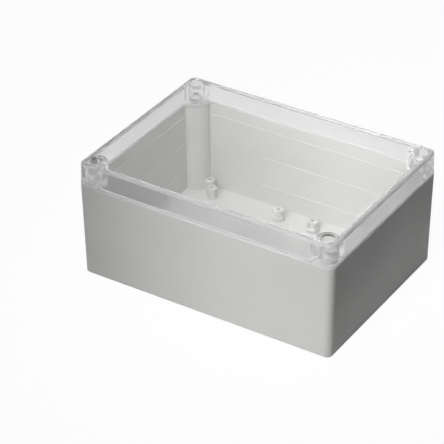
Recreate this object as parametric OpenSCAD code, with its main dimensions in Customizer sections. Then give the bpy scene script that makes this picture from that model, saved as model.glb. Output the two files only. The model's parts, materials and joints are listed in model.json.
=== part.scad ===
// Sealed instrument enclosure: a drafted tub, a clear lid standing on four corner posts, a cord seal in
// the tub's rim, and four lid screws that run into brass inserts in the tub's posts.
// Millimetres. Origin in the middle of the underside, +X along the length, +Y to the back, +Z up.

/* [Outline] */
// Outside length at the parting line
length = 175; // [150:1:240]
// Outside width at the parting line
width = 126; // [110:1:180]
// Height of the base, underside to parting line
base_height = 63; // [50:1:100]
// Height of the lid, parting line to top
lid_height = 15; // [14:0.5:22]
// Outside corner radius at the parting line
corner_r = 5; // [4:0.5:7]
// How far each side of the base draws in at the underside
base_taper = 1.2; // [0.4:0.1:1.6]
// How far each side of the lid draws in at the top
lid_taper = 0.6; // [0.2:0.1:1]
// Rounding of the base's bottom edge
base_round = 1.5; // [0.6:0.1:2]
// Rounding of the lid's top edge
lid_round = 1.9; // [0.5:0.1:2.1]

/* [Walls] */
// Thickness of the floor
floor_t = 2.6; // [2:0.1:4]
// Thickness of the lid's top plate
lid_plate_t = 2.6; // [2:0.1:3.5]
// Width of the rim, outside face to inside face
rim_w = 4.6; // [4.4:0.1:6]
// Bevel on the base's outside edge at the parting line
rim_bevel = 0.5; // [0.2:0.05:0.9]
// Bevel on the lid's outside edge at the parting line
lid_bevel = 0.3; // [0.2:0.05:0.8]
// Standing gap between lid and base
parting_gap = 0.5; // [0.1:0.05:0.6]
// Width of each moulding ledge inside the base
ledge_w = 0.4; // [0.2:0.1:0.6]
// Top ledge, below the parting line
ledge_drop = 7.5; // [5:0.5:10]
// Bottom ledge, above the underside
ledge_low = 15.5; // [13:0.5:18]
// Radius where the inside walls turn
inner_turn = 1.2; // [0.6:0.1:2]

/* [Corner posts] */
// Screw axis, in from each outside face
post_inset = 7.5; // [7:0.1:9]
// Post radius at the parting line
post_r = 8.7; // [8.3:0.1:9.5]
// Post radius at the floor
post_foot_r = 9.6; // [9:0.1:11]
// Lid post radius under the top plate
lid_post_r = 8.3; // [7.8:0.1:8.7]
// Faces of the webs that tie a post to its walls, from the screw axis
web_off = 7.7; // [7.5:0.1:8.2]
// Diameter of the lid's counterbore
counterbore_d = 8.6; // [8.4:0.1:9]
// Lead-in at the counterbore's mouth
counterbore_lead = 0.4; // [0.2:0.1:0.6]
// Thickness left under the counterbore
seat_t = 2.5; // [2:0.1:4]
// Clearance hole for the lid screw
screw_hole_d = 4.5; // [4.3:0.1:5]

/* [Seal] */
// Width of the groove in the base's rim
groove_w = 2.2; // [1.8:0.1:2.4]
// Depth of that groove
groove_depth = 3.6; // [3:0.1:4.5]
// Wall of the base outside the groove
skirt_t = 1.2; // [1:0.1:1.6]
// Width of the lid's tongue
tongue_w = 1.6; // [1.2:0.1:1.7]
// How deep that tongue reaches into the groove
tongue_h = 1.5; // [1:0.1:2]
// Radius of the seal line round a post
seal_post_r = 6.5; // [6.4:0.1:6.8]
// Radius of the seal line where it leaves a wall
seal_turn = 2; // [1.6:0.1:2.4]
// Side clearance of the seal in its groove
seal_side_gap = 0.05; // [0.02:0.01:0.1]
// Gap between seal and tongue
seal_gap = 0.05; // [0.02:0.01:0.1]

/* [Lid screws] */
// Screw length under the head
screw_len = 16; // [14:1:18]
// Head diameter
head_d = 7.8; // [7:0.1:7.9]
// Head height at its crown
head_h = 2.7; // [2.2:0.1:3.2]
// Head height at its edge
head_edge_h = 1.3; // [0.8:0.1:1.8]
// Plain shank diameter
shank_d = 3.9; // [3.6:0.1:4]
// Plain shank length
shank_len = 3.6; // [3:0.1:5]
// Core diameter of the thread
core_d = 3.3; // [3:0.1:3.4]
// Width of each slot of the cross recess
recess_w = 0.9; // [0.7:0.1:1.2]
// Length of each slot of the cross recess
recess_len = 4.2; // [3.4:0.1:5]
// Depth of the cross recess
recess_depth = 1.7; // [1.2:0.1:2]
// Washer outside diameter
washer_d = 7.9; // [7.5:0.1:8]
// Washer hole
washer_hole_d = 4.5; // [4.3:0.1:4.8]
// Washer thickness
washer_t = 0.5; // [0.4:0.1:0.8]

/* [Threaded inserts] */
// Insert outside diameter
insert_d = 5.6; // [5.2:0.1:6]
// Insert length
insert_len = 8; // [6:0.5:9]
// Insert bore
insert_bore_d = 4; // [3.9:0.1:4.1]
// How far the insert sits below the post's top
insert_sink = 0.3; // [0.1:0.1:0.6]
// Width and depth of the insert's two retaining grooves
insert_groove = 0.5; // [0.3:0.1:0.6]
// Clearance of the insert in its pocket, on the radius
insert_gap = 0.02; // [0.01:0.01:0.05]
// Relief hole for the screw tip
relief_d = 4.4; // [4.1:0.1:4.8]
// Space under the screw tip
relief_room = 2; // [1:0.5:4]

/* [Floor bosses] */
// Boss diameter
boss_d = 6.8; // [5.5:0.1:7]
// Boss height above the floor
boss_h = 7.5; // [5:0.5:9]
// Bevel round the top of a boss or collar
boss_bevel = 0.4; // [0.2:0.1:0.6]
// Pilot hole diameter
pilot_d = 2.8; // [2.4:0.1:3.2]
// Pilot hole depth
pilot_depth = 6.5; // [4:0.5:6.5]
// Board bosses, in from the end faces
board_inset_x = 25.5; // [25:0.5:30]
// Board bosses, in from the long faces
board_inset_y = 18; // [18:0.5:24]
// Rail bosses, each side of the middle
rail_half = 12.5; // [10:0.5:20]
// Diameter of the collar on a rail boss
collar_d = 8.4; // [7.5:0.1:9]
// Height of that collar
collar_h = 3.2; // [2:0.1:4]
// Plate bosses, in from the end faces
plate_inset_x = 19; // [18.5:0.1:19.5]
// Plate bosses, in from the long faces
plate_inset_y = 9.9; // [9.8:0.1:10.2]

/* [Hidden] */
$fn = 96;
over = 1;
ledge_count = 3;
post_x = length / 2 - post_inset;
post_y = width / 2 - post_inset;
lid_bottom = base_height + parting_gap;
lid_top = base_height + lid_height;
lid_hollow_h = lid_top - lid_plate_t - lid_bottom;
seat_z = lid_bottom + seat_t;
head_z = seat_z + washer_t;
tip_z = head_z - screw_len;
insert_top = base_height - insert_sink;
insert_bottom = insert_top - insert_len;
seal_inset = skirt_t + groove_w / 2;
tongue_bottom = base_height - tongue_h;
seal_top = tongue_bottom - seal_gap;
seal_bottom = base_height - groove_depth;
board_x = length / 2 - board_inset_x;
board_y = width / 2 - board_inset_y;
plate_x = length / 2 - plate_inset_x;
plate_y = width / 2 - plate_inset_y;
FRONT_LEFT = [-1, -1];
FRONT_RIGHT = [1, -1];
BACK_LEFT = [-1, 1];
BACK_RIGHT = [1, 1];

// Height of the foot of each inside wall band, from the rim band down to the floor
function band_foot(band) =
    band == ledge_count
        ? floor_t
        : base_height - ledge_drop - band * (base_height - ledge_drop - ledge_low) / (ledge_count - 1);

// Base post radius at a height
function base_post_r(z) =
    post_foot_r + (post_r - post_foot_r) * (z - floor_t) / (base_height - floor_t);

// Lid post radius at a height above the lid's lower edge
function rise_post_r(h) = post_r + (lid_post_r - post_r) * h / lid_hollow_h;

// The child, drawn for the +X +Y corner, at all four corners
module four_corners() {
    for (flip_x = [0, 1])
        for (flip_y = [0, 1])
            mirror([flip_x, 0, 0])
                mirror([0, flip_y, 0])
                    children();
}

// The child moved from the origin to one corner's screw axis
module at_post(side) {
    translate([side[0] * post_x, side[1] * post_y, 0])
        children();
}

// What rounds off an outward corner of an area, at x, y
module turn_cut(x, y, r) {
    translate([x - r, y - r])
        difference() {
            square(r + over);
            circle(r);
        }
}

// Everything on the corner side of a line that passes a post at a distance from its axis
module post_side(off) {
    far = post_inset + over;
    translate([post_x, post_y]) {
        circle(off);
        translate([-off, 0])
            square([off + far, far]);
        translate([0, -off])
            square([far, off + far]);
    }
}

// Area inside a line that follows the walls and passes every post on its inner side
module inner_area(wall_inset, post_off, turn_r) {
    half_x = length / 2 - wall_inset;
    half_y = width / 2 - wall_inset;
    difference() {
        square([2 * half_x, 2 * half_y], center = true);
        four_corners() {
            post_side(post_off);
            turn_cut(half_x, post_y - post_off, turn_r);
            turn_cut(post_x - post_off, half_y, turn_r);
        }
    }
}

// Area inside the seal line, moved outwards by a distance
module seal_area(out) {
    inner_area(seal_inset - out, seal_post_r - out, seal_turn + out);
}

// Strip of a given width along the seal line
module seal_strip(w) {
    difference() {
        seal_area(w / 2);
        seal_area(-w / 2);
    }
}

// Half section of a drafted side, measured from the axis of its corner radius: the narrow end lies
// at height 0 and is rounded, the wide end at height h is bevelled
module side_profile(h, taper, round_r, bevel) {
    slant = sqrt(h * h + taper * taper);
    round_x = corner_r - taper - round_r * (slant - taper) / h;
    round_end = [round_x + round_r * h / slant, round_r * (1 - taper / slant)];
    bevel_start = [corner_r - taper * bevel / h, h - bevel];
    polygon([[0, 0], [round_x, 0], round_end, bevel_start, [corner_r - bevel, h], [0, h]]);
    translate([round_x, round_r])
        intersection() {
            circle(round_r);
            translate([0, -round_r])
                square(round_r);
        }
}

// Full section across the block, half being the distance to the corner axes
module block_section(half, h, taper, round_r, bevel) {
    for (flip = [0, 1])
        mirror([flip, 0])
            translate([half, 0])
                side_profile(h, taper, round_r, bevel);
    translate([-half, 0])
        square([2 * half, h]);
}

// Solid block with drafted sides and conical corners, widest at its top
module drafted_block(h, taper, round_r, bevel) {
    run_x = length - 2 * corner_r;
    run_y = width - 2 * corner_r;
    rotate([90, 0, 90])
        linear_extrude(run_x, center = true)
            block_section(run_y / 2, h, taper, round_r, bevel);
    rotate([90, 0, 0])
        linear_extrude(run_y, center = true)
            block_section(run_x / 2, h, taper, round_r, bevel);
    four_corners()
        translate([run_x / 2, run_y / 2, 0])
            rotate_extrude(angle = 90)
                side_profile(h, taper, round_r, bevel);
}

// Inside of the base: bands that step in towards the floor, with conical posts left standing
module base_hollow() {
    top = base_height + over;
    difference() {
        for (band = [0 : ledge_count])
            translate([0, 0, band_foot(band)])
                linear_extrude(top - band_foot(band))
                    inner_area(rim_w + band * ledge_w, web_off, inner_turn);
        four_corners()
            translate([post_x, post_y, floor_t - over])
                cylinder(h = top - floor_t + 2 * over, r1 = base_post_r(floor_t - over),
                         r2 = base_post_r(top + over));
    }
}

// Inside of the lid, open downwards
module lid_hollow() {
    translate([0, 0, lid_bottom])
        difference() {
            translate([0, 0, -over])
                linear_extrude(lid_hollow_h + over)
                    inner_area(rim_w, web_off, inner_turn);
            four_corners()
                translate([post_x, post_y, -2 * over])
                    cylinder(h = lid_hollow_h + 3 * over, r1 = rise_post_r(-2 * over),
                             r2 = rise_post_r(lid_hollow_h + over));
        }
}

// Positions of the floor bosses in one corner quarter
module at_bosses() {
    for (spot = [[board_x, board_y], [plate_x, plate_y], [rail_half, board_y]])
        translate([spot[0], spot[1], floor_t])
            children();
}

// Round boss that stands on height 0 and is rooted below it, bevelled at its top
module boss(d, h) {
    rotate_extrude()
        polygon([[0, -over], [d / 2, -over], [d / 2, h - boss_bevel], [d / 2 - boss_bevel, h], [0, h]]);
}

// Floor bosses of one corner quarter, without their pilot holes
module floor_bosses() {
    at_bosses()
        boss(boss_d, boss_h);
    translate([rail_half, board_y, floor_t])
        boss(collar_d, collar_h);
}

// Pilot holes of one corner quarter
module boss_pilots() {
    at_bosses()
        translate([0, 0, boss_h - pilot_depth])
            cylinder(h = pilot_depth + over, d = pilot_d);
}

// Well in a base post: pocket for the insert, then relief for the screw tip
module screw_well() {
    well_bottom = tip_z - relief_room;
    translate([post_x, post_y, insert_bottom])
        cylinder(h = base_height + over - insert_bottom, d = insert_d + 2 * insert_gap);
    translate([post_x, post_y, well_bottom])
        cylinder(h = insert_bottom + over - well_bottom, d = relief_d);
}

// Tub with its seal groove, corner posts and floor bosses
module base() {
    color([0.78, 0.78, 0.76])
        difference() {
            union() {
                difference() {
                    drafted_block(base_height, base_taper, base_round, rim_bevel);
                    base_hollow();
                }
                four_corners()
                    floor_bosses();
            }
            translate([0, 0, seal_bottom])
                linear_extrude(groove_depth + over)
                    seal_strip(groove_w);
            four_corners() {
                screw_well();
                boss_pilots();
            }
        }
}

// Clear lid with its rim tongue and counterbored posts
module lid() {
    color([0.86, 0.88, 0.9, 0.4])
        difference() {
            union() {
                difference() {
                    translate([0, 0, lid_top])
                        mirror([0, 0, 1])
                            drafted_block(lid_top - lid_bottom, lid_taper, lid_round, lid_bevel);
                    lid_hollow();
                }
                translate([0, 0, tongue_bottom])
                    linear_extrude(lid_bottom + over - tongue_bottom)
                        seal_strip(tongue_w);
            }
            four_corners()
                translate([post_x, post_y, 0]) {
                    translate([0, 0, seat_z])
                        cylinder(h = lid_top + over - seat_z, d = counterbore_d);
                    translate([0, 0, lid_top - counterbore_lead])
                        cylinder(h = counterbore_lead + over, d1 = counterbore_d,
                                 d2 = counterbore_d + 2 * (counterbore_lead + over));
                    translate([0, 0, lid_bottom - over])
                        cylinder(h = seat_t + 2 * over, d = screw_hole_d);
                }
        }
}

// Cord seal, pressed home in the base's groove
module seal() {
    color([0.66, 0.64, 0.6])
        translate([0, 0, seal_bottom])
            linear_extrude(seal_top - seal_bottom)
                seal_strip(groove_w - 2 * seal_side_gap);
}

// Lid screw on the Z axis: crowned head with a cross recess, plain shank, thread core, pointed end
module lid_screw() {
    crown_rise = head_h - head_edge_h;
    crown_r = (head_d * head_d / 4 + crown_rise * crown_rise) / (2 * crown_rise);
    tip_len = core_d / 4;
    color([0.8, 0.8, 0.82])
        translate([0, 0, head_z])
            difference() {
                union() {
                    rotate_extrude()
                        intersection() {
                            square([head_d / 2, head_h]);
                            translate([0, head_h - crown_r])
                                circle(crown_r);
                        }
                    translate([0, 0, -shank_len])
                        cylinder(h = shank_len + head_edge_h / 2, d = shank_d);
                    translate([0, 0, tip_len - screw_len])
                        cylinder(h = screw_len - tip_len, d = core_d);
                    translate([0, 0, -screw_len])
                        cylinder(h = tip_len, d1 = core_d / 2, d2 = core_d);
                }
                for (turn = [0, 90])
                    rotate([0, 0, turn])
                        translate([-recess_len / 2, -recess_w / 2, head_h - recess_depth])
                            cube([recess_len, recess_w, recess_depth + over]);
            }
}

// Flat washer under a lid screw's head
module washer() {
    color([0.72, 0.72, 0.74])
        translate([0, 0, seat_z])
            difference() {
                cylinder(h = washer_t, d = washer_d);
                translate([0, 0, -over])
                    cylinder(h = washer_t + 2 * over, d = washer_hole_d);
            }
}

// Brass insert with two retaining grooves
module threaded_insert() {
    color([0.8, 0.62, 0.28])
        translate([0, 0, insert_bottom])
            difference() {
                cylinder(h = insert_len, d = insert_d);
                translate([0, 0, -over])
                    cylinder(h = insert_len + 2 * over, d = insert_bore_d);
                for (third = [1, 2])
                    translate([0, 0, third * insert_len / 3 - insert_groove / 2])
                        rotate_extrude()
                            translate([insert_d / 2 - insert_groove, 0])
                                square([insert_groove + over, insert_groove]);
            }
}

base();
lid();
seal();
at_post(FRONT_LEFT) lid_screw();  // lid_screw_front_left
at_post(FRONT_RIGHT) lid_screw();  // lid_screw_front_right
at_post(BACK_LEFT) lid_screw();  // lid_screw_back_left
at_post(BACK_RIGHT) lid_screw();  // lid_screw_back_right
at_post(FRONT_LEFT) washer();  // washer_front_left
at_post(FRONT_RIGHT) washer();  // washer_front_right
at_post(BACK_LEFT) washer();  // washer_back_left
at_post(BACK_RIGHT) washer();  // washer_back_right
at_post(FRONT_LEFT) threaded_insert();  // insert_front_left
at_post(FRONT_RIGHT) threaded_insert();  // insert_front_right
at_post(BACK_LEFT) threaded_insert();  // insert_back_left
at_post(BACK_RIGHT) threaded_insert();  // insert_back_right
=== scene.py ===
import json
import math

import bmesh
import bpy
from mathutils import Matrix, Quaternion, Vector


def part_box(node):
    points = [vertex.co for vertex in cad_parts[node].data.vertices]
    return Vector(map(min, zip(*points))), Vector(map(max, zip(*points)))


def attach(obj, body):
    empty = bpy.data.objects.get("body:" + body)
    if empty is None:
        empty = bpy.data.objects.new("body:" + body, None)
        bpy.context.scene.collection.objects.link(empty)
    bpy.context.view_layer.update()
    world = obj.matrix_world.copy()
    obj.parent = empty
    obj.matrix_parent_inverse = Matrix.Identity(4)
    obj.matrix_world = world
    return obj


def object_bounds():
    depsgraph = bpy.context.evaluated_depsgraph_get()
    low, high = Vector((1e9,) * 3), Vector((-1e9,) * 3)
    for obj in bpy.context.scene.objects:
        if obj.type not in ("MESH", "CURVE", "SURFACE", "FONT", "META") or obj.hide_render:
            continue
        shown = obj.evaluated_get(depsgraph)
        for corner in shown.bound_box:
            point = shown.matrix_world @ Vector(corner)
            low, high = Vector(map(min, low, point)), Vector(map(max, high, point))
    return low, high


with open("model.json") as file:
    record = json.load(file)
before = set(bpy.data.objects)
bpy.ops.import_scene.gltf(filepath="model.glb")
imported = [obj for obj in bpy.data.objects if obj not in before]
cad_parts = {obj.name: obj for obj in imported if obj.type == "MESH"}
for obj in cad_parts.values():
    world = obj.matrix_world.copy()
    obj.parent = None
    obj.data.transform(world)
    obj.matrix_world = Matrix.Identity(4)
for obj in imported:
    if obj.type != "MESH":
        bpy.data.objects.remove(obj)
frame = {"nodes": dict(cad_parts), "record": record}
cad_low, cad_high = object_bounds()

# Corners of the enclosure, as its screws, washers and inserts are named
CORNERS = ("front_left", "front_right", "back_left", "back_right")

# Camera, from the outlines of the box: angles in degrees, lengths in metres
IMAGE_PX = 444
SENSOR_MM = 36.0
FOCAL_PX = 2101.1
VIEW_AZIMUTH = 32.618
VIEW_ELEVATION = 32.902
VIEW_ROLL = 0.470
VIEW_DISTANCE = 1.27155
VIEW_TARGET = Vector((-0.01705, -0.01376, 0.03295))

# Lid screw, M4 coarse, in metres
THREAD_PITCH = 0.0007
THREAD_R = 0.00197
THREAD_ROOT_R = 0.00163
SHANK_LEN = 0.0036
HEAD_H = 0.0027
TIP_LEN = 0.0009

# Insert thread, in metres: it meshes with the screw's, half a turn further on
INSERT_ROOT_R = 0.00202
INSERT_CREST_R = 0.00172
INSERT_LEAD = 0.0004

# Ridge of both threads: half its foot in pitches, its crest and its run-out as shares of that foot
THREAD_STEPS = 28
RIDGE_HALF_FOOT = 0.46
RIDGE_CREST = 0.14
RIDGE_RUN_OUT = 0.02

# Outer skin of the lid's walls and rounded edges, in metres, and the slopes that tell faces apart
LID_CORNER_R = 0.005
LID_SKIN = 0.0027
FLAT_SLOPE = 0.9995
EDGE_SLOPE = 0.1

# Foot of the lid, where it faces down on the base's rim and the seal
FOOT_SLOPE = -0.9
FOOT_RISE = 0.001

# Material slots of the lid's textured faces, after the clear one
WALL_SLOT, EDGE_SLOT, FOOT_SLOT = 1, 2, 3

# Dull and bright tone of each finish
ABS_TONES = ((0.535, 0.538, 0.522), (0.565, 0.568, 0.552))
CLEAR_TONES = ((0.968, 0.968, 0.962), (0.98, 0.98, 0.975))
# Lid walls: a grey tint darker than the clear window, painted shade on the same plastic
WALL_PAINTED_SHADE_TONES = ((0.66, 0.65, 0.665), (0.72, 0.71, 0.725))
# Rounded edges of the lid: a grey tint darker than the walls, painted shade on the same plastic
EDGE_PAINTED_SHADE_TONES = ((0.54, 0.535, 0.545), (0.60, 0.595, 0.605))
FOOT_TONES = ((0.84, 0.83, 0.84), (0.90, 0.89, 0.90))
RUBBER_TONES = ((0.42, 0.41, 0.39), (0.50, 0.49, 0.465))
SCREW_TONES = ((0.66, 0.66, 0.68), (0.80, 0.80, 0.81))
WASHER_TONES = ((0.58, 0.58, 0.60), (0.72, 0.72, 0.74))
BRASS_TONES = ((0.62, 0.43, 0.17), (0.83, 0.62, 0.28))

# Polycarbonate: how it bends light, and the share of lamplight that a clear or textured face passes
POLYCARBONATE_IOR = 1.585
CLEAR_PASS = 0.98
TEXTURED_PASS = 0.93

# Sheen of the grey ABS, and how much a hairline roughens the polished lid
ABS_SHEEN = 0.2
HAIRLINE_ROUGH = 0.06

# Coarse part of the moulded grain, against the fine part: its scale and its share of the height
COARSE_SCALE = 0.37
COARSE_SHARE = 0.6

# Two ways that hairlines run: turn about Z in radians, and squeeze of the noise
HAIRLINE_WAYS = ((0.5, (0.03, 1.0, 0.4)), (2.2, (1.0, 0.03, 0.4)))

# Floor, lengths in metres: grey for the light that it throws back, white where it is seen,
# and the share of that white which no shadow reaches
FLOOR_R = 12.0
FLOOR_SIDES = 96
FLOOR_DROP = 0.0002
FLOOR_GREY = 0.6
FLOOR_WHITE = 0.95
FLOOR_GLOW = 0.96

# Fill light of the studio: from strong at the left to weak at the right, between two X directions
FILL_LEFT = 0.04
FILL_RIGHT = 0.004
FILL_LEFT_X = -0.7
FILL_RIGHT_X = 0.5

# Beam angle of an open softbox, in degrees
OPEN_BEAM = 180.0

# Sockets of a colour mix node: its two colours, and its result
MIX_FIRST, MIX_SECOND, MIX_RESULT = 6, 7, 2

# Diffuse depth below which a ray hasn't bounced off a matt surface
BEFORE_BOUNCE = 0.5

WHITE = (1.0, 1.0, 1.0, 1.0)
FLOAT, VECTOR = "NodeSocketFloat", "NodeSocketVector"


class Shader:
    """A node tree with short calls for new nodes and links."""

    def __init__(self, tree):
        self.tree = tree

    def node(self, kind, **values):
        made = self.tree.nodes.new(kind)
        for key, value in values.items():
            setattr(made, key, value)
        return made

    def link(self, source, target):
        self.tree.links.new(source, target)

    def feed(self, source, target):
        """Sets a socket to a number, or links it to another socket."""
        if isinstance(source, (int, float)):
            target.default_value = source
        else:
            self.link(source, target)

    def noise(self, vector, scale, detail, rough):
        made = self.node("ShaderNodeTexNoise")
        made.inputs["Detail"].default_value = detail
        made.inputs["Roughness"].default_value = rough
        self.link(vector, made.inputs["Vector"])
        self.feed(scale, made.inputs["Scale"])
        return made.outputs["Fac"]

    def math(self, operation, a, b):
        made = self.node("ShaderNodeMath", operation=operation)
        self.feed(a, made.inputs[0])
        self.feed(b, made.inputs[1])
        return made.outputs[0]

    def spread(self, value, low, high, to_low=0.0, to_high=1.0):
        """Maps a value from one range to another."""
        made = self.node("ShaderNodeMapRange")
        self.link(value, made.inputs["Value"])
        made.inputs["From Min"].default_value = low
        made.inputs["From Max"].default_value = high
        made.inputs["To Min"].default_value = to_low
        made.inputs["To Max"].default_value = to_high
        return made.outputs["Result"]

    def blend(self, share, first, second):
        """A colour between two tones, by a share that changes over the surface."""
        made = self.node("ShaderNodeMix", data_type="RGBA")
        self.link(share, made.inputs["Factor"])
        made.inputs[MIX_FIRST].default_value = (*first, 1.0)
        made.inputs[MIX_SECOND].default_value = (*second, 1.0)
        return made.outputs[MIX_RESULT]

    def either(self, share, first, second, target):
        """Shows the first shader where the share is 0 and the second where it is 1."""
        made = self.node("ShaderNodeMixShader")
        self.link(share, made.inputs[0])
        self.link(first, made.inputs[1])
        self.link(second, made.inputs[2])
        self.link(made.outputs[0], target)


def new_group(name, inputs, outputs):
    """A shader node group with named sockets, each input with its usual value."""
    tree = bpy.data.node_groups.new(name, "ShaderNodeTree")
    for label, kind, value in inputs:
        socket = tree.interface.new_socket(label, in_out="INPUT", socket_type=kind)
        if value is not None:
            socket.default_value = value
    for label, kind in outputs:
        tree.interface.new_socket(label, in_out="OUTPUT", socket_type=kind)
    s = Shader(tree)
    return s, s.node("NodeGroupInput").outputs, s.node("NodeGroupOutput").inputs


def moulded_grain_group():
    """Fine grain of a spark-eroded mould, and the slow change of tone across a moulding."""
    s, given, out = new_group(
        "moulded_grain",
        [("Vector", VECTOR, None), ("Grain Scale", FLOAT, 2600.0), ("Tone Scale", FLOAT, 18.0)],
        [("Height", FLOAT), ("Tone", FLOAT)],
    )
    fine = s.noise(given["Vector"], given["Grain Scale"], detail=3.0, rough=0.6)
    coarse_scale = s.math("MULTIPLY", given["Grain Scale"], COARSE_SCALE)
    coarse = s.noise(given["Vector"], coarse_scale, detail=2.0, rough=0.5)
    s.link(s.math("ADD", fine, s.math("MULTIPLY", coarse, COARSE_SHARE)), out["Height"])
    tone = s.noise(given["Vector"], given["Tone Scale"], detail=3.0, rough=0.55)
    s.link(s.spread(tone, low=0.3, high=0.7), out["Tone"])
    return s.tree


def handling_marks_group():
    """Hairline scratches in two directions, and soft smudges from handling."""
    s, given, out = new_group(
        "handling_marks",
        [
            ("Vector", VECTOR, None),
            ("Hairline Scale", FLOAT, 900.0),
            ("Smudge Scale", FLOAT, 30.0),
        ],
        [("Hairlines", FLOAT), ("Smudges", FLOAT)],
    )
    lines = []
    for turn, squeeze in HAIRLINE_WAYS:
        placed = s.node("ShaderNodeMapping")
        placed.inputs["Rotation"].default_value = (0.0, 0.0, turn)
        placed.inputs["Scale"].default_value = squeeze
        s.link(given["Vector"], placed.inputs["Vector"])
        streak = s.noise(placed.outputs["Vector"], given["Hairline Scale"], detail=1.0, rough=0.4)
        lines.append(s.spread(streak, low=0.66, high=0.74))
    s.link(s.math("MAXIMUM", *lines), out["Hairlines"])
    smudge = s.noise(given["Vector"], given["Smudge Scale"], detail=4.0, rough=0.6)
    s.link(s.spread(smudge, low=0.35, high=0.75), out["Smudges"])
    return s.tree


GRAIN = moulded_grain_group()
MARKS = handling_marks_group()


def new_material(name):
    """A material with its node tree, its main shader and the place of each point on the piece."""
    material = bpy.data.materials.new(name)
    material.use_nodes = True
    s = Shader(material.node_tree)
    shader = material.node_tree.nodes["Principled BSDF"]
    place = s.node("ShaderNodeTexCoord").outputs["Object"]
    return material, s, shader, place


def add_group(s, tree, place, **values):
    """Places a shared effect in a material, with this material's own values."""
    made = s.node("ShaderNodeGroup")
    made.node_tree = tree
    s.link(place, made.inputs["Vector"])
    for key, value in values.items():
        made.inputs[key.replace("_", " ").title()].default_value = value
    return made.outputs


def set_tone(s, shader, share, first, second):
    s.link(s.blend(share, first, second), shader.inputs["Base Color"])


def set_roughness(s, shader, share, smooth, rough):
    s.link(s.spread(share, 0.0, 1.0, smooth, rough), shader.inputs["Roughness"])


def add_bump(s, shader, height, strength, distance):
    bump = s.node("ShaderNodeBump")
    bump.inputs["Strength"].default_value = strength
    bump.inputs["Distance"].default_value = distance
    s.link(height, bump.inputs["Height"])
    s.link(bump.outputs["Normal"], shader.inputs["Normal"])


def grey_abs():
    """Moulded ABS of the base: fine grain, a little smoother where it has been handled."""
    material, s, shader, place = new_material("grey_abs_moulded")
    grain = add_group(s, GRAIN, place)
    marks = add_group(s, MARKS, place, smudge_scale=22.0)
    set_tone(s, shader, grain["Tone"], *ABS_TONES)
    shader.inputs["Specular IOR Level"].default_value = ABS_SHEEN
    set_roughness(s, shader, marks["Smudges"], 0.50, 0.40)
    add_bump(s, shader, grain["Height"], strength=0.25, distance=0.00004)
    return material


def let_lamps_through(material, s, shader, share):
    """Lets lamplight pass the lid, dimmed a little, and keeps the shader for all that is seen."""
    path = s.node("ShaderNodeLightPath")
    passing = s.node("ShaderNodeBsdfTransparent")
    passing.inputs["Color"].default_value = (share, share, share, 1.0)
    surface = material.node_tree.nodes["Material Output"].inputs["Surface"]
    s.either(path.outputs["Is Shadow Ray"], shader.outputs[0], passing.outputs[0], surface)


def clear_polycarbonate():
    """Polished window of the lid, with faint smudges and hairlines."""
    material, s, shader, place = new_material("clear_polycarbonate_polished")
    marks = add_group(s, MARKS, place, hairline_scale=700.0, smudge_scale=16.0)
    grain = add_group(s, GRAIN, place, grain_scale=55.0, tone_scale=12.0)
    set_tone(s, shader, grain["Tone"], *CLEAR_TONES)
    smudged = s.spread(marks["Smudges"], 0.0, 1.0, 0.01, 0.03)
    scratched = s.math("MULTIPLY", marks["Hairlines"], HAIRLINE_ROUGH)
    s.link(s.math("ADD", smudged, scratched), shader.inputs["Roughness"])
    shader.inputs["Transmission Weight"].default_value = 1.0
    shader.inputs["IOR"].default_value = POLYCARBONATE_IOR
    add_bump(s, shader, grain["Height"], strength=0.02, distance=0.0004)
    let_lamps_through(material, s, shader, CLEAR_PASS)
    return material


def textured_polycarbonate(name, tones, clear_share, smooth, rough, lamps_pass=True):
    """A textured face of the lid: it scatters the light that isn't in its clear share."""
    material, s, shader, place = new_material(name)
    grain = add_group(s, GRAIN, place, grain_scale=3200.0, tone_scale=26.0)
    # On the walls and rounded edges these tones are painted shade; on the foot they are its own
    # whitish colour
    set_tone(s, shader, grain["Tone"], *tones)
    set_roughness(s, shader, grain["Tone"], smooth, rough)
    shader.inputs["Transmission Weight"].default_value = clear_share
    shader.inputs["IOR"].default_value = POLYCARBONATE_IOR
    add_bump(s, shader, grain["Height"], strength=0.2, distance=0.00004)
    if lamps_pass:
        let_lamps_through(material, s, shader, TEXTURED_PASS)
    return material


def seal_rubber():
    """Matt rubber of the seal cord."""
    material, s, shader, place = new_material("seal_rubber_matt")
    grain = add_group(s, GRAIN, place, grain_scale=4200.0, tone_scale=60.0)
    set_tone(s, shader, grain["Tone"], *RUBBER_TONES)
    set_roughness(s, shader, grain["Tone"], 0.72, 0.86)
    add_bump(s, shader, grain["Height"], strength=0.3, distance=0.00005)
    return material


def bright_metal(name, tones, smooth, rough, hairline_scale):
    """Bare metal of the fasteners, duller and rougher where it has been handled."""
    dull, bright = tones
    material, s, shader, place = new_material(name)
    marks = add_group(s, MARKS, place, hairline_scale=hairline_scale, smudge_scale=260.0)
    set_tone(s, shader, marks["Smudges"], bright, dull)
    shader.inputs["Metallic"].default_value = 1.0
    set_roughness(s, shader, marks["Smudges"], smooth, rough)
    add_bump(s, shader, marks["Hairlines"], strength=0.15, distance=0.00002)
    return material


FINISHES = {
    "grey_abs": grey_abs(),
    "clear_polycarbonate": clear_polycarbonate(),
    "seal_rubber": seal_rubber(),
    "screw_steel": bright_metal(
        "screw_steel_bright", SCREW_TONES, smooth=0.32, rough=0.44, hairline_scale=5200.0
    ),
    "washer_steel": bright_metal(
        "washer_steel_rolled", WASHER_TONES, smooth=0.26, rough=0.42, hairline_scale=3600.0
    ),
    "insert_brass": bright_metal(
        "insert_brass_turned", BRASS_TONES, smooth=0.20, rough=0.36, hairline_scale=3000.0
    ),
}


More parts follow.
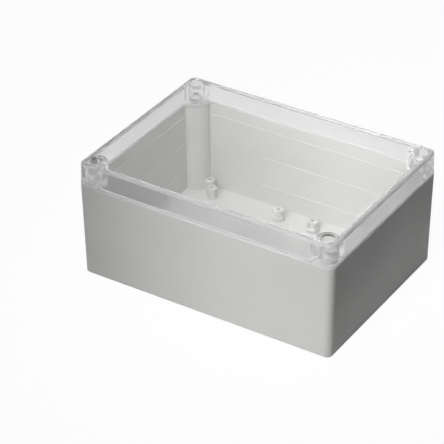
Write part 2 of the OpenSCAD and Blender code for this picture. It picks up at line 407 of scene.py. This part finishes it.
def on_lid_outside(face, rim_z):
    """True on the lid's outer walls and rounded edges, not its window, foot, tongue or inside."""
    if abs(face.normal.z) > FLAT_SLOPE or face.center.z < rim_z:
        return False
    past_x = max(abs(face.center.x) - (cad_high.x - LID_CORNER_R), 0.0)
    past_y = max(abs(face.center.y) - (cad_high.y - LID_CORNER_R), 0.0)
    return math.hypot(past_x, past_y) > LID_CORNER_R - LID_SKIN


def texture_lid():
    """Gives the lid's outer walls, rounded edges and foot their textured finishes; the walls and
    rounded edges are tinted darker grey than the window as painted shade.
    """
    lid = frame["nodes"]["lid"].data
    for finish in (
        # Outer walls: textured, with a darker grey tint that is painted shade
        textured_polycarbonate(
            "clear_polycarbonate_wall_painted_shade", WALL_PAINTED_SHADE_TONES, clear_share=0.74, smooth=0.16, rough=0.22
        ),
        # Rounded edges: textured, with a darker grey tint that is painted shade
        textured_polycarbonate(
            "clear_polycarbonate_edge_painted_shade", EDGE_PAINTED_SHADE_TONES, clear_share=0.4, smooth=0.3, rough=0.38
        ),
        textured_polycarbonate(
            "clear_polycarbonate_foot", FOOT_TONES, clear_share=0.35, smooth=0.3, rough=0.4,
            lamps_pass=False,
        ),
    ):
        lid.materials.append(finish)
    rim_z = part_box("base")[1].z
    for face in lid.polygons:
        if on_lid_outside(face, rim_z):
            face.material_index = EDGE_SLOT if face.normal.z > EDGE_SLOPE else WALL_SLOT
        elif face.normal.z < FOOT_SLOPE and face.center.z < rim_z + FOOT_RISE:
            face.material_index = FOOT_SLOT


def finish_cad_nodes():
    """Each CAD node keeps its mesh and gets the finish of its slot."""
    for part in frame["record"]["subparts"]:
        node = frame["nodes"][part["node"]]
        node.data.materials.clear()
        node.data.materials.append(FINISHES[part["material_slot"]])
    texture_lid()


def add_object(name, mesh, material, body):
    """A new piece with its finish and the body that it moves with."""
    piece = bpy.data.objects.new(name, mesh)
    bpy.context.scene.collection.objects.link(piece)
    mesh.materials.append(material)
    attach(piece, body)


def mesh_of(bm, name):
    """Turns a finished bmesh into a mesh."""
    mesh = bpy.data.meshes.new(name)
    bm.to_mesh(mesh)
    bm.free()
    return mesh


def thread_mesh(name, root_r, crest_r, z_low, z_high, centre, phase):
    """A helical ridge between two heights, which runs out to nothing at both ends."""
    count = int((z_high - z_low) / THREAD_PITCH * THREAD_STEPS)
    half = THREAD_PITCH * RIDGE_HALF_FOOT
    flat = half * RIDGE_CREST
    bm = bmesh.new()
    rings = []
    for i in range(count + 1):
        angle = phase + 2 * math.pi * i / THREAD_STEPS
        z = z_low + THREAD_PITCH * i / THREAD_STEPS
        fade = min(1.0, i / THREAD_STEPS, (count - i) / THREAD_STEPS)
        width = max(fade, RIDGE_RUN_OUT)
        crest = root_r + (crest_r - root_r) * fade
        ring = []
        for r, dz in ((root_r, -half), (crest, -flat), (crest, flat), (root_r, half)):
            x = centre[0] + r * math.cos(angle)
            y = centre[1] + r * math.sin(angle)
            ring.append(bm.verts.new((x, y, z + dz * width)))
        rings.append(ring)
    for lower, upper in zip(rings, rings[1:]):
        for k in range(len(lower)):
            after = (k + 1) % len(lower)
            bm.faces.new((lower[k], lower[after], upper[after], upper[k]))
    bm.faces.new(rings[0][::-1])
    bm.faces.new(rings[-1])
    bmesh.ops.recalc_face_normals(bm, faces=bm.faces)
    return mesh_of(bm, name)


def add_threads():
    """The thread on each lid screw, and the one in its insert, half a turn further on."""
    for corner in CORNERS:
        screw_low, screw_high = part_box(f"lid_screw_{corner}")
        middle = (screw_low + screw_high) / 2
        top = screw_high.z - HEAD_H - SHANK_LEN
        bottom = screw_low.z + TIP_LEN
        name = f"screw_thread_{corner}"
        mesh = thread_mesh(name, THREAD_ROOT_R, THREAD_R, bottom, top, middle, 0.0)
        add_object(name, mesh, FINISHES["screw_steel"], f"lid_screw_{corner}")

        insert_low, insert_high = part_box(f"insert_{corner}")
        bottom = insert_low.z + INSERT_LEAD
        top = insert_high.z - INSERT_LEAD
        turns = (bottom - screw_low.z - TIP_LEN) / THREAD_PITCH
        phase = (2 * turns + 1) * math.pi
        name = f"insert_thread_{corner}"
        mesh = thread_mesh(name, INSERT_ROOT_R, INSERT_CREST_R, bottom, top, middle, phase)
        add_object(name, mesh, FINISHES["insert_brass"], "base")


def place_camera():
    """The camera at the photograph's viewing angle."""
    data = bpy.data.cameras.new("photo_camera")
    data.sensor_width = SENSOR_MM
    data.lens = SENSOR_MM * FOCAL_PX / IMAGE_PX
    camera = bpy.data.objects.new("photo_camera", data)
    bpy.context.scene.collection.objects.link(camera)
    turn, rise = math.radians(VIEW_AZIMUTH), math.radians(VIEW_ELEVATION)
    reach = math.cos(rise)
    back = Vector((math.sin(turn) * reach, -math.cos(turn) * reach, math.sin(rise)))
    camera.location = VIEW_TARGET + back * VIEW_DISTANCE
    camera.rotation_mode = "QUATERNION"
    level = (-back).to_track_quat("-Z", "Y")
    roll = Quaternion((0.0, 0.0, 1.0), -math.radians(VIEW_ROLL))
    camera.rotation_quaternion = level @ roll
    bpy.context.scene.camera = camera


def seen_ray(s):
    """1 for the rays that show the background: straight, through glass or mirrored."""
    path = s.node("ShaderNodeLightPath")
    shown = s.math("MAXIMUM", path.outputs["Is Camera Ray"], path.outputs["Is Transmission Ray"])
    shown = s.math("MAXIMUM", shown, path.outputs["Is Glossy Ray"])
    unscattered = s.math("LESS_THAN", path.outputs["Diffuse Depth"], BEFORE_BOUNCE)
    return s.math("MULTIPLY", shown, unscattered)


def lay_floor():
    """Pale floor: white where it is seen, with a soft part of the box's shadow."""
    bm = bmesh.new()
    bmesh.ops.create_circle(bm, cap_ends=True, segments=FLOOR_SIDES, radius=FLOOR_R)
    mesh = mesh_of(bm, "floor")
    floor = bpy.data.objects.new("floor", mesh)
    bpy.context.scene.collection.objects.link(floor)
    floor.location.z = cad_low.z - FLOOR_DROP
    material = bpy.data.materials.new("pale_floor")
    material.use_nodes = True
    tree = material.node_tree
    tree.nodes.remove(tree.nodes["Principled BSDF"])
    s = Shader(tree)
    seen = seen_ray(s)
    matt = s.node("ShaderNodeBsdfDiffuse")
    s.link(s.blend(seen, (FLOOR_GREY,) * 3, (FLOOR_WHITE,) * 3), matt.inputs["Color"])
    glow = s.node("ShaderNodeEmission")
    glow.inputs["Strength"].default_value = 1.0
    glow_share = s.math("MULTIPLY", seen, FLOOR_GLOW)
    surface = tree.nodes["Material Output"].inputs["Surface"]
    s.either(glow_share, matt.outputs[0], glow.outputs[0], surface)
    mesh.materials.append(material)


def light_world():
    """White where the studio is seen, and a weak fill light on the box."""
    world = bpy.data.worlds.new("studio")
    bpy.context.scene.world = world
    world.use_nodes = True
    tree = world.node_tree
    s = Shader(tree)
    seen = tree.nodes["Background"]
    seen.inputs["Color"].default_value = WHITE
    seen.inputs["Strength"].default_value = 1.0
    fill = s.node("ShaderNodeBackground")
    fill.inputs["Color"].default_value = WHITE
    axes = s.node("ShaderNodeSeparateXYZ")
    s.link(s.node("ShaderNodeTexCoord").outputs["Generated"], axes.inputs[0])
    strength = s.spread(axes.outputs["X"], FILL_LEFT_X, FILL_RIGHT_X, FILL_LEFT, FILL_RIGHT)
    s.link(strength, fill.inputs["Strength"])
    surface = tree.nodes["World Output"].inputs["Surface"]
    s.either(seen_ray(s), fill.outputs[0], seen.outputs[0], surface)


def add_softbox(name, place, aim, size, power, beam=OPEN_BEAM, mirrored=True):
    """A rectangular lamp, in metres, watts and degrees, that isn't seen itself."""
    data = bpy.data.lights.new(name, "AREA")
    data.shape = "RECTANGLE"
    data.size, data.size_y = size
    data.energy = power
    data.spread = math.radians(beam)
    lamp = bpy.data.objects.new(name, data)
    bpy.context.scene.collection.objects.link(lamp)
    lamp.location = place
    lamp.rotation_mode = "QUATERNION"
    lamp.rotation_quaternion = (Vector(aim) - Vector(place)).to_track_quat("-Z", "Y")
    lamp.visible_camera = False
    lamp.visible_glossy = mirrored
    lamp.visible_transmission = False


def add_lamps():
    """Narrow beams on the front, the inside and the lid, and a softbox behind for the back."""
    add_softbox(
        "front_beam", place=(0.06, -0.75, 0.65), aim=(0.045, 0.03, 0.045),
        size=(0.2, 0.3), power=0.195, beam=24.0,
    )
    add_softbox(
        "low_beam", place=(0.0, -0.9, 0.16), aim=(0.04, -0.06, 0.03),
        size=(0.25, 0.12), power=0.04, beam=30.0,
    )
    add_softbox(
        "key_beam", place=(0.0, -0.45, 1.0), aim=(0.07, 0.02, 0.03),
        size=(0.25, 0.25), power=0.1, beam=24.0,
    )
    add_softbox(
        "top_beam", place=(-0.1, 0.05, 1.1), aim=(-0.07, 0.02, 0.06),
        size=(0.3, 0.3), power=0.06, beam=24.0, mirrored=False,
    )
    add_softbox(
        "rear_softbox", place=(-0.7, 1.0, 0.22), aim=(0.0, 0.0, 0.03),
        size=(0.6, 0.4), power=7.0, mirrored=False,
    )


place_camera()
finish_cad_nodes()
add_threads()
lay_floor()
light_world()
add_lamps()
bpy.context.scene.view_settings.view_transform = "Standard"
